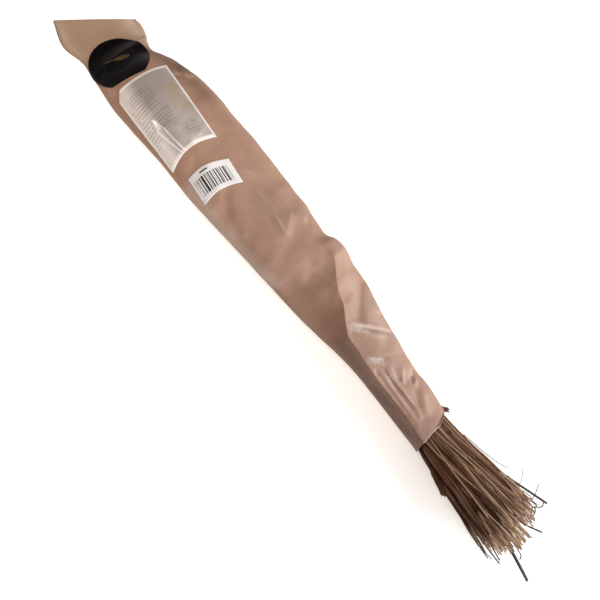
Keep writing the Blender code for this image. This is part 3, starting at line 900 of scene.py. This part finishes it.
bunch = {
    "count": 300,
    "radius": (0.45, 0.88),
    "tone": (0.53, 0.18),  # their shades' mean and spread
    "sheathed": 0.4,  # the share of stems that are thicker up to the end of a leaf sheath
    "sheathWall": 0.3,
    "sheathEnd": (500, 640),
    "sides": 6,
    "ringShares": (0.0, 0.16, 0.30, 0.38, 0.46, 0.54, 0.62, 0.70, 0.78, 0.86, 0.93, 1.0),
    "startX": 256.0,
    "startSpread": 0.80,
    "bandX": 452.0,
    "throatX": 484.0,
    "mouthX": 490.0,
    "strayFrom": 480.0,  # from here to their ends the stems leave their own line more and more
    "strayTurn": 0.3,
    "strayShare": (-0.14, 0.10),
    "sway": (0.1, 1.0),  # how far they sway inside the sleeve, and more at their ends
    "endX": 600.0,
    "endRagged": (-17, 4),
    "endDrop": (17.0, 11.0, 13.0),  # how much shorter the fan's right side, top and left edge are
    "endSlant": 1.2,
    "fanCentre": (33.4, 21.5),  # y and z
    "fanHalfSize": (32.3, 19.5),
    "fanBulge": 0.8,  # below 1, the fan spreads most just below the mouth
    "leftShade": 0.14,  # how much darker the stems on the left are
    "wallInset": 2.8,
    "squeeze": 2.0,  # how much farther in they lie on the right side
    "bandInset": 3.6,
}
goldenAngle = math.pi * (3 - math.sqrt(5))


def rodTemplate(sides, rings, hollow):
    # an upright unit rod, with a dished cut end where hollow: its mesh, and its vertices' turn, radius
    # and height
    bm = bmesh.new()
    bmesh.ops.create_cone(bm, cap_ends=True, segments=sides, radius1=1, radius2=1, depth=1)
    walls = [edge for edge in bm.edges if abs(edge.verts[0].co.z - edge.verts[1].co.z) > 0.5]
    bmesh.ops.subdivide_edges(bm, edges=walls, cuts=rings - 2, use_grid_fill=True)
    bm.normal_update()
    if hollow:
        cutEnd = [face for face in bm.faces if face.normal.z > 0.9]
        bmesh.ops.inset_region(bm, faces=cutEnd, thickness=0.4, depth=-0.02, use_even_offset=True)
    mesh = meshFrom("rod template", bm)
    flat = np.array([vert.co for vert in mesh.vertices])
    return mesh, np.arctan2(flat[:, 1], flat[:, 0]), np.hypot(flat[:, 0], flat[:, 1]), flat[:, 2] + 0.5


def followPath(path, knots, along):
    # the place on the path and the way it points, for each share along it
    slopes = np.gradient(path, knots, axis=0)
    ahead = smoothAt(knots, path, slopes, along + 0.01) - smoothAt(knots, path, slopes, along - 0.01)
    return smoothAt(knots, path, slopes, along), unit(ahead)


def addRod(bm, template, path, knots, radii, tone, toneLayer, slant):
    # lays a copy of the rod along the path, with a radius at each of the path's points; its end is darker
    mesh, turn, size, along = template
    centre, ahead = followPath(path, knots, along)
    side = unit(np.cross(ahead, (0.05, 0.1, 1.0)))
    upward = np.cross(side, ahead)
    radius = np.interp(along, knots, radii) * size
    points = centre + side * (radius * np.cos(turn))[:, None] + upward * (radius * np.sin(turn))[:, None]
    points += ahead * (np.where(along > 0.97, slant, 0) * radius * np.cos(turn))[:, None]
    points[:, 2] = np.maximum(points[:, 2], 0.15)
    for vert, point, weathered in zip(addCopy(bm, mesh), points, -0.04 * smoothStep(0.8, 1, along)):
        vert.co = point
        vert[toneLayer] = tone + weathered


def fanPoints(x, angle, share):
    # points of the fan of stems between the sleeve's mouth and the cut ends
    mouth = fillPoints(np.full(np.shape(x), mouthX), angle, share, bunch["wallInset"])
    mouth[..., 1] += bunch["squeeze"] * np.minimum(0, np.cos(angle)) * share
    endY = bunch["fanCentre"][0] - bunch["fanHalfSize"][0] * np.cos(angle) * share
    endZ = bunch["fanCentre"][1] + bunch["fanHalfSize"][1] * np.sin(angle) * share
    t = np.clip((x - mouthX) / (bunch["endX"] - mouthX), 0, None)
    near = 0.03  # keeps the spread's curve smooth at the mouth
    start, end = near ** bunch["fanBulge"], (1 + near) ** bunch["fanBulge"]
    t = ((t + near) ** bunch["fanBulge"] - start) / (end - start)
    y, z = (mouth[..., axis] + (end - mouth[..., axis]) * t for axis, end in ((1, endY), (2, endZ)))
    return np.stack([x, y, z], -1)


def makeStems():
    bm = bmesh.new()
    toneLayer = bm.verts.layers.float.new("tone")
    knots = np.array(bunch["ringShares"])
    template = rodTemplate(bunch["sides"], len(knots), True)
    rightDrop, topDrop, leftDrop = bunch["endDrop"]
    for i in range(bunch["count"]):
        # a sunflower's order spreads the stems evenly over the bunch
        share = math.sqrt((i + 0.5) / bunch["count"])
        angle = i * goldenAngle
        left, up = share * math.cos(angle), share * math.sin(angle)
        endX = bunch["endX"] - rightDrop * max(0, -left) - topDrop * up
        endX += draw.uniform(*bunch["endRagged"]) - leftDrop * float(smoothStep(0.45, 0.78, left))
        startX = bunch["startX"] + draw.uniform(0, 10)
        ringX = np.interp(knots, [0, 0.30, 0.38, 1], [startX, bunch["bandX"], bunch["throatX"], endX])
        progress = smoothStep(bunch["strayFrom"], endX, ringX)
        turn = draw.uniform(-bunch["strayTurn"], bunch["strayTurn"])
        angles = angle + turn * progress + draw.uniform(-0.12, 0.12)
        shares = np.clip(share + draw.uniform(*bunch["strayShare"]) * progress, 0.02, 1.0)
        spread = np.interp(ringX, [startX, 440], [bunch["startSpread"], 1])
        inside = fillPoints(ringX, angles, shares * spread, bunch["bandInset"])
        path = np.where((ringX > bunch["mouthX"])[:, None], fanPoints(ringX, angles, shares), inside)
        path[:, 0] = ringX
        sway = np.array([[0, draw.uniform(-1, 1), draw.uniform(-1, 1)] for _ in knots])
        path += sway * (bunch["sway"][0] + bunch["sway"][1] * progress)[:, None]
        radius = draw.uniform(*bunch["radius"])
        wall = bunch["sheathWall"] * (ringX < draw.uniform(*bunch["sheathEnd"]))
        wall = wall * (draw.random() < bunch["sheathed"])
        path[:, 2] = np.maximum(path[:, 2], radius + 0.15)
        path[:, 1] = np.maximum(path[:, 1], radius + 0.2)
        tone = min(max(draw.gauss(*bunch["tone"]), 0.06), 0.97) - bunch["leftShade"] * max(0, left)
        addRod(bm, template, path, knots, radius * (1 + wall) * (1.05 - 0.15 * knots), tone, toneLayer,
               draw.uniform(-bunch["endSlant"], bunch["endSlant"]))
    finishPiece("grass_stems", bm, dryStraw, ["stems"])


# stems and fibres that leave the fan: radius, tone, path
looseStems = [
    (1.7, 0.34, [(520, 30, 14), (565, 26.5, 11.5), (606, 21.6, 8.6), (638, 14.9, 4.2)]),
    (1.3, 0.36, [(505, 47, 21), (540, 56.5, 24), (561, 62.4, 25.5), (587, 69.6, 26.6)]),
    (0.95, 0.25, [(540, 42, 24), (588, 43.5, 21.5), (607.2, 51.2, 18.4)]),
    (0.7, 0.22, [(530, 18, 10), (571.8, 6, 8), (586, 3.4, 6), (601.5, 1.6, 3)]),
    (0.5, 0.3, [(560, 9, 8), (585, 4.8, 6), (592.5, 3.4, 5), (604.5, 3.6, 3.5)]),
    (0.8, 0.18, [(540, 15, 10), (586, 8.6, 8), (598.2, 7, 6), (611.5, 6.2, 3.5)]),
    (0.7, 0.24, [(545, 19, 12), (586.4, 12.3, 10), (598, 10.2, 8), (608.5, 8.4, 5)]),
    (0.6, 0.4, [(570, 31, 17), (599.6, 27.4, 14), (608.8, 26.2, 12), (615.9, 24.3, 10), (617.4, 22.1, 9)]),
    (0.4, 0.62, [(500, 55, 22), (525.3, 58.8, 22), (537, 61.4, 22), (547, 65.2, 21)]),
    (0.35, 0.6, [(548, 60, 26), (560.1, 63.4, 26), (555.6, 70.2, 26), (551.5, 73.6, 25)]),
    (0.4, 0.55, [(566, 58, 25), (577.4, 64, 24), (575.8, 67.7, 24), (572.8, 75.5, 22)]),
    (0.5, 0.45, [(560, 58, 23), (571.7, 62.7, 22), (577.1, 63.2, 21), (582.7, 62.6, 20), (587.1, 64, 19)]),
    (0.55, 0.4, [(578, 54, 20), (585.4, 58.2, 20), (586, 60.8, 20), (588.6, 62.7, 20), (589.7, 66.1, 20),
                 (587.7, 68.6, 20), (585, 69, 21)]),
    (0.6, 0.35, [(572, 50, 20), (582, 52, 20), (591.1, 54.8, 19), (589.6, 58.5, 19), (586.5, 61, 18)]),
    (0.7, 0.8, [(468, 31.5, 29), (484, 31, 30.5), (506, 28.5, 35), (536, 26.5, 38), (572, 24, 36)]),
    (0.7, 0.82, [(468, 38, 30), (484, 39, 31), (518.6, 43.5, 36), (560, 47, 35), (582, 48, 32)]),
]

# dry leaf sheaths: half width, tone, how far its two sides curl, path
leafStrips = [
    (4.8, 0.36, 0.4, [(474, 27.5, 24), (491, 23, 24), (510, 15.8, 24), (520, 12, 23.5), (529, 9.4, 22)]),
    (2.6, 0.46, 0.3, [(462, 46, 17), (470, 53.5, 19), (477.5, 59.6, 19)]),
    (1.3, 0.72, 0.6, [(515, 44, 30), (545, 50, 33), (568, 54.5, 33)]),
    (1.6, 0.72, 0.6, [(486, 38, 31), (510, 38, 35.5), (540, 36.5, 38), (566, 37, 38)]),
    (1.9, 0.95, 0.2, [(566, 37, 32), (584, 37.5, 29), (596.5, 38.6, 24)]),
    (1.7, 0.9, 0.2, [(570, 31, 32), (588, 30, 28), (599, 30, 24)]),
    (1.5, 0.55, 0.6, [(488, 46.5, 28), (515, 51.5, 30), (548, 56, 31), (580, 59, 28)]),
    (1.3, 0.45, 0.5, [(488, 24, 29), (515, 19.5, 32), (545, 16, 33), (575, 14, 30)]),
    (1.4, 0.65, 0.4, [(550, 22, 36), (572, 18, 34), (590, 16.5, 29)]),
    (1.2, 0.8, 0.4, [(540, 57, 28), (560, 60.5, 27), (578, 60.5, 24)]),
]

leafBack = (0, 33.0, -20.0)  # the leaves turn their backs to a line below the bunch: its y and z


def makeLooseStems():
    bm = bmesh.new()
    toneLayer = bm.verts.layers.float.new("tone")
    template = rodTemplate(bunch["sides"], 16, False)
    for radius, tone, path in looseStems:
        path = np.array(path, float)
        knots = sharesAlong(path)
        addRod(bm, template, path, knots, radius * (1 - 0.15 * knots), tone, toneLayer, 0.3)
    finishPiece("loose_stems", bm, weatheredStraw)


def makeLeafStrips():
    bm = bmesh.new()
    toneLayer = bm.verts.layers.float.new("tone")
    for halfWidth, tone, curl, path in leafStrips:
        made = bmesh.ops.create_grid(bm, x_segments=6, y_segments=20, size=1)["verts"]
        across = np.array([vert.co.x for vert in made])
        along = (np.array([vert.co.y for vert in made]) + 1) / 2
        path = np.array(path, float)
        centre, ahead = followPath(path, sharesAlong(path), along)
        outward = centre - np.where([True, False, False], centre, leafBack)
        side = unit(np.cross(ahead, outward))
        outward = np.cross(side, ahead)
        ragged = np.array([noise.noise(Vector((12 * t, tone * 40, s))) for s, t in zip(across, along)])
        width = halfWidth * (0.75 + 0.25 * np.sin(along * math.pi)) * (1 + 0.25 * ragged)
        points = centre + side * (across * width)[:, None]
        points -= outward * (curl * np.abs(across) ** 1.5 * width)[:, None]
        points += ahead * (1.4 * np.sin(across * 7 + tone * 20) * (along > 0.98))[:, None]
        for vert, point in zip(made, points):
            vert.co = point
            vert[toneLayer] = tone
    finishPiece("leaf_sheaths", bm, dryLeaf, (), 0.14)


makeStems()
makeLooseStems()
makeLeafStrips()


# Inside the sleeve: the rubber band and the flower heads

band = {
    "segments": 72,
    "width": 5.0,
    "wallInset": 2.2,
    "rounding": 0.5,  # how much farther in its two edges lie
    "thickness": 0.9,
}


def makeBand():
    bm = bmesh.new()
    bmesh.ops.create_grid(bm, x_segments=band["segments"], y_segments=4, size=1)
    around, across = gridShares(bm)
    x = bunch["bandX"] + band["width"] * (across - 0.5)
    inset = band["wallInset"] + band["rounding"] * (2 * across - 1) ** 2
    moveTo(bm.verts, fillPoints(x, around * fullTurn, np.ones(len(x)), inset))
    bmesh.ops.remove_doubles(bm, verts=bm.verts, dist=0.01)
    bmesh.ops.recalc_face_normals(bm, faces=bm.faces)
    finishPiece("elastic_band", bm, naturalRubber, ["rubber_band"], band["thickness"])


heads = {
    "radius": 7.4,
    "length": 36.0,
    "taper": 0.22,
    "bristles": 90,
    "bristleRadius": (0.3, 0.02),
    "bristleLength": (3.0, 6.0),
    "rowX": (112.0, 142.0, 172.0, 202.0, 227.0),
    "inRow": (5, 9, 10, 10, 9),
    "wallInset": 12.5,
}


def headTemplate():
    # one flower head that points along -X: an oval core under slanting bristles
    bm = bmesh.new()
    core = bmesh.ops.create_icosphere(bm, subdivisions=2, radius=1)["verts"]
    for vert in core:
        along, side, up = vert.co.z, vert.co.x, vert.co.y
        taper = (1 - heads["taper"] * along) * heads["radius"]
        vert.co = (-along * heads["length"] / 2, side * taper, up * taper)
    for k in range(heads["bristles"]):
        along = 1 - 2 * (k + 0.5) / heads["bristles"]
        out = Vector((0, math.cos(k * goldenAngle), math.sin(k * goldenAngle)))
        taper = (1 - heads["taper"] * along) * heads["radius"]
        foot = out * math.sqrt(1 - along * along) * taper * 0.97
        foot.x = -along * heads["length"] / 2
        aim = (out * 0.75 + Vector((-0.9, 0, 0))).normalized()
        length = draw.uniform(*heads["bristleLength"])
        wide, narrow = heads["bristleRadius"]
        bmesh.ops.create_cone(bm, cap_ends=True, segments=3, radius1=wide, radius2=narrow, depth=length,
                              matrix=Matrix.Translation(foot + aim * length / 2)
                              @ aim.to_track_quat("Z", "Y").to_matrix().to_4x4())
    return meshFrom("head template", bm)


def makeHeads():
    template = headTemplate()
    bm = bmesh.new()
    for rowX, inRow in zip(heads["rowX"], heads["inRow"]):
        # an outer ring against the paper, and an inner one
        for layer, count in ((0.97, inRow), (0.42, max(2, inRow // 3))):
            for i in range(count):
                angle = (i + 0.5 * (rowX % 4 > 1)) * fullTurn / count + draw.uniform(-0.15, 0.15)
                x = rowX + draw.uniform(-5, 5)
                tip = Vector(fillPoints(x - 0.4 * heads["length"], angle, layer, heads["wallInset"]))
                root = Vector(fillPoints(x + 0.4 * heads["length"], angle, layer, heads["wallInset"]))
                turn = (root - tip).to_track_quat("X", "Z").to_matrix() @ Matrix.Rotation(i * 2.4, 3, "X")
                bmesh.ops.transform(bm, matrix=Matrix.Translation((tip + root) / 2) @ turn.to_4x4(),
                                    verts=addCopy(bm, template))
    finishPiece("bunny_tail_heads", bm, flowerDown, ["flower_heads"])


makeBand()
makeHeads()


# Floor, lights and camera

studio = {
    "floorRadius": 6000.0,
    # two halves of a low window beyond the stems, and a small warm lamp above the tip:
    # place in the sleeve's own millimetres, the place it points at, size, power and colour
    "lights": [
        ((2309, 1229, 793), (250, 40, 20), 1200, 82.0, "f0f8ff"),
        ((2628, 40, 793), (250, 40, 20), 1200, 45.0, "f2f6ff"),
        ((60, 20, 450), (60, 40, 20), 200, 1.4, "fff4ea"),
    ],
    "worldColour": "fff3ea",
    "worldStrength": 0.10,
    "backdrop": 0.85,  # how bright the room looks to the camera, in views from the side
    "glowColour": "fff5ea",
    "floorGlow": 0.5,  # keeps the board white
}
camera = {
    "place": (325.0, 25.25, 525.0),  # straight above the bunch, at about arm's length
    "turn": math.atan2(0.756, 0.655),
    "lens": 36.0,
    "sensor": 36.0,
}


def makeStage():
    bm = bmesh.new()
    bmesh.ops.create_circle(bm, cap_ends=True, segments=96, radius=studio["floorRadius"] * mm)
    # matt white acrylic board with the faintest unevenness, lit a little from below
    board = makeMottled("matt white board", 400, 2.0, [(0.3, "f5f4f3"), (0.7, "f7f7f6")], {
        "Roughness": 0.9, "Specular IOR Level": 0.1, "Emission Color": studio["glowColour"],
        "Emission Strength": studio["floorGlow"]})
    floor = addObject("studio_floor", meshFrom("studio floor", bm))
    floor.data.materials.append(board)
    for place, target, size, power, colour in studio["lights"]:
        light = bpy.data.lights.new("lamp", "AREA")
        light.shape = "DISK"
        light.size = size * mm
        light.energy = power
        light.color = linear(colour)[:3]
        lamp = addObject("lamp", light)
        lamp.location = (Vector(place) - partOrigin) * mm
        lamp.rotation_euler = (Vector(place) - Vector(target)).to_track_quat("Z", "Y").to_euler()
    world = bpy.data.worlds.new("soft room")
    world.use_nodes = True
    tree = world.node_tree
    seen = addNode(tree, "LightPath", {}, "Is Camera Ray")
    strength = addNode(tree, "MapRange", {"Value": seen, "To Min": studio["worldStrength"],
                                          "To Max": studio["backdrop"]})
    setInput(tree, tree.nodes["Background"], "Color", studio["worldColour"])
    setInput(tree, tree.nodes["Background"], "Strength", strength)
    bpy.context.scene.world = world
    bpy.context.scene.view_settings.view_transform = "Standard"


def makeCamera():
    lens = bpy.data.cameras.new("camera")
    lens.lens = camera["lens"]
    lens.sensor_width = camera["sensor"]
    lens.clip_start = 10 * mm
    eye = addObject("camera", lens)
    eye.location = (Vector(camera["place"]) - partOrigin) * mm
    eye.rotation_euler = (0, 0, camera["turn"])
    bpy.context.scene.camera = eye


makeStage()
makeCamera()
print("stage and camera made")
